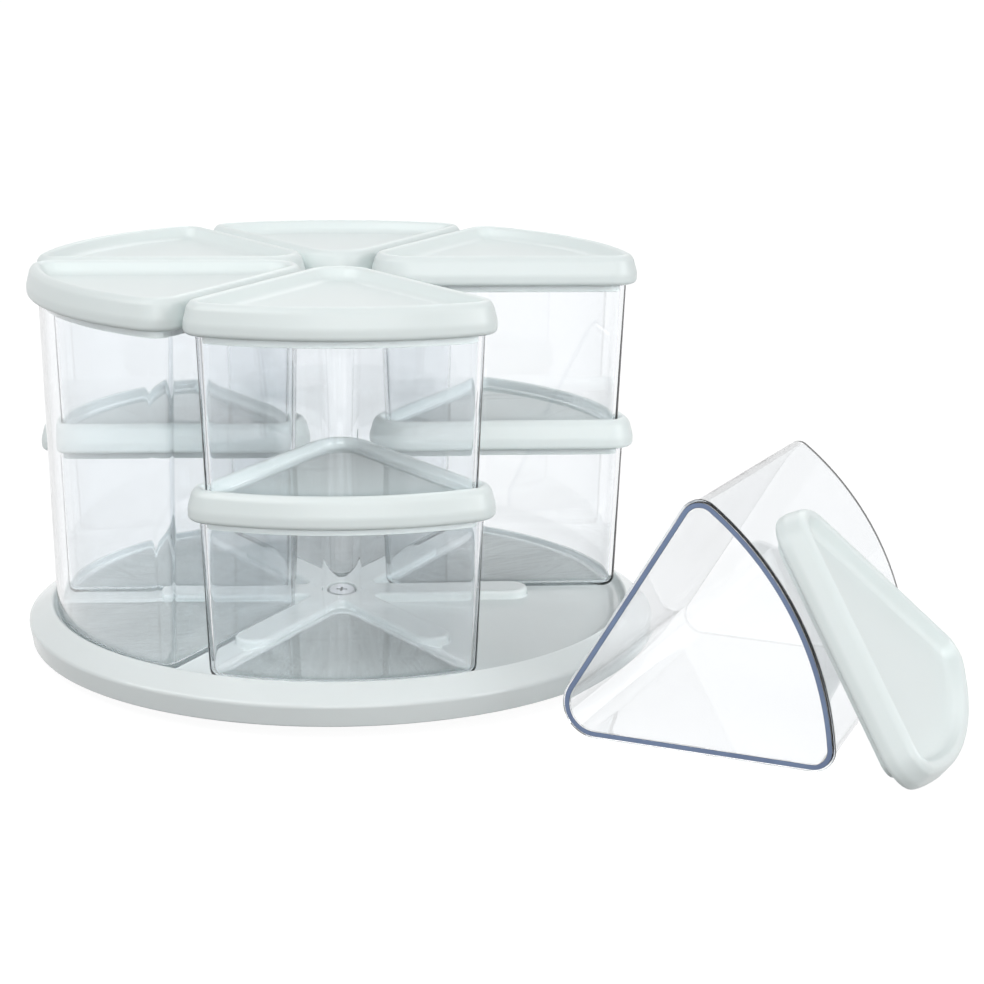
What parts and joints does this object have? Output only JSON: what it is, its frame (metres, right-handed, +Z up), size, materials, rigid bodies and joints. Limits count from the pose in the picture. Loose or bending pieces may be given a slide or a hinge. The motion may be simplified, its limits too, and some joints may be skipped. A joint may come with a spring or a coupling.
{
  "type": "rotating parts carousel",
  "caption": "Revolving round tray of clear wedge-shaped storage bins with lift-off lids, small ones stacked and tall ones single; a tall bin lies beside it with its lid leaning on it.",
  "frame": {"origin": "where the turntable's axis meets the table, at the centre of the middle rubber foot's underside", "axes": "+Z up along the turntable's axis, +X to the side where the loose bin lies, -Y towards the front of the carousel"},
  "size_m": [0.4154, 0.3516, 0.1778],
  "materials": {
    "clear_plastic": "clear, polished",
    "lid_plastic": "satin white",
    "tray_plastic": "satin white",
    "base_plastic": "matte white",
    "foot_rubber": "matte grey",
    "cage_plastic": "matte",
    "bearing_steel": "polished",
    "pivot_steel": "plated"
  },
  "bodies": {
    "base": {"base_plate": "base_plastic", "rubber_feet": "foot_rubber", "pivot_screw": "pivot_steel"},
    "turntable": {"turntable_tray": "tray_plastic", "pivot_washer": "pivot_steel"},
    "cage": {"ball_cage": "cage_plastic", "bearing_balls": "bearing_steel"},
    "front_lower_bin": {"front_lower_bin": "clear_plastic"},
    "front_lower_lid": {"front_lower_lid": "lid_plastic"},
    "front_upper_bin": {"front_upper_bin": "clear_plastic"},
    "front_upper_lid": {"front_upper_lid": "lid_plastic"},
    "right_rear_lower_bin": {"right_rear_lower_bin": "clear_plastic"},
    "right_rear_lower_lid": {"right_rear_lower_lid": "lid_plastic"},
    "right_rear_upper_bin": {"right_rear_upper_bin": "clear_plastic"},
    "right_rear_upper_lid": {"right_rear_upper_lid": "lid_plastic"},
    "rear_tall_bin": {"rear_tall_bin": "clear_plastic"},
    "rear_tall_lid": {"rear_tall_lid": "lid_plastic"},
    "left_rear_lower_bin": {"left_rear_lower_bin": "clear_plastic"},
    "left_rear_lower_lid": {"left_rear_lower_lid": "lid_plastic"},
    "left_rear_upper_bin": {"left_rear_upper_bin": "clear_plastic"},
    "left_rear_upper_lid": {"left_rear_upper_lid": "lid_plastic"},
    "left_front_tall_bin": {"left_front_tall_bin": "clear_plastic"},
    "left_front_tall_lid": {"left_front_tall_lid": "lid_plastic"},
    "loose_tall_bin": {"loose_tall_bin": "clear_plastic"},
    "loose_tall_lid": {"loose_tall_lid": "lid_plastic"}
  },
  "joints": [
    {"name": "turntable_spin", "type": "hinge", "parent": "base", "child": "turntable", "pos_m": [0, 0, 0], "axis": [0, 0, 1], "continuous": true},
    {"name": "cage_spin", "type": "hinge", "parent": "base", "child": "cage", "pos_m": [0, 0, 0], "axis": [0, 0, 1], "continuous": true},
    {"name": "front_lower_bin_lift", "type": "slide", "parent": "turntable", "child": "front_lower_bin", "axis": [0, 0, 1], "range_m": [0, 0.1]},
    {"name": "front_lower_lid_lift", "type": "slide", "parent": "front_lower_bin", "child": "front_lower_lid", "axis": [0, 0, 1], "range_m": [0, 0.1]},
    {"name": "front_upper_bin_lift", "type": "slide", "parent": "front_lower_lid", "child": "front_upper_bin", "axis": [0, 0, 1], "range_m": [0, 0.1]},
    {"name": "front_upper_lid_lift", "type": "slide", "parent": "front_upper_bin", "child": "front_upper_lid", "axis": [0, 0, 1], "range_m": [0, 0.1]},
    {"name": "right_rear_lower_bin_lift", "type": "slide", "parent": "turntable", "child": "right_rear_lower_bin", "axis": [0, 0, 1], "range_m": [0, 0.1]},
    {"name": "right_rear_lower_lid_lift", "type": "slide", "parent": "right_rear_lower_bin", "child": "right_rear_lower_lid", "axis": [0, 0, 1], "range_m": [0, 0.1]},
    {"name": "right_rear_upper_bin_lift", "type": "slide", "parent": "right_rear_lower_lid", "child": "right_rear_upper_bin", "axis": [0, 0, 1], "range_m": [0, 0.1]},
    {"name": "right_rear_upper_lid_lift", "type": "slide", "parent": "right_rear_upper_bin", "child": "right_rear_upper_lid", "axis": [0, 0, 1], "range_m": [0, 0.1]},
    {"name": "rear_tall_bin_lift", "type": "slide", "parent": "turntable", "child": "rear_tall_bin", "axis": [0, 0, 1], "range_m": [0, 0.17]},
    {"name": "rear_tall_lid_lift", "type": "slide", "parent": "rear_tall_bin", "child": "rear_tall_lid", "axis": [0, 0, 1], "range_m": [0, 0.17]},
    {"name": "left_rear_lower_bin_lift", "type": "slide", "parent": "turntable", "child": "left_rear_lower_bin", "axis": [0, 0, 1], "range_m": [0, 0.1]},
    {"name": "left_rear_lower_lid_lift", "type": "slide", "parent": "left_rear_lower_bin", "child": "left_rear_lower_lid", "axis": [0, 0, 1], "range_m": [0, 0.1]},
    {"name": "left_rear_upper_bin_lift", "type": "slide", "parent": "left_rear_lower_lid", "child": "left_rear_upper_bin", "axis": [0, 0, 1], "range_m": [0, 0.1]},
    {"name": "left_rear_upper_lid_lift", "type": "slide", "parent": "left_rear_upper_bin", "child": "left_rear_upper_lid", "axis": [0, 0, 1], "range_m": [0, 0.1]},
    {"name": "left_front_tall_bin_lift", "type": "slide", "parent": "turntable", "child": "left_front_tall_bin", "axis": [0, 0, 1], "range_m": [0, 0.17]},
    {"name": "left_front_tall_lid_lift", "type": "slide", "parent": "left_front_tall_bin", "child": "left_front_tall_lid", "axis": [0, 0, 1], "range_m": [0, 0.17]},
    {"name": "loose_tall_bin_lift", "type": "slide", "parent": "base", "child": "loose_tall_bin", "axis": [0, 0, 1], "range_m": [0, 0.17]},
    {"name": "loose_tall_lid_lift", "type": "slide", "parent": "loose_tall_bin", "child": "loose_tall_lid", "axis": [0, 0, 1], "range_m": [0, 0.1]}
  ],
  "couplings": [
    {"joint": "cage_spin", "follows": "turntable_spin", "ratio": 0.5}
  ]
}
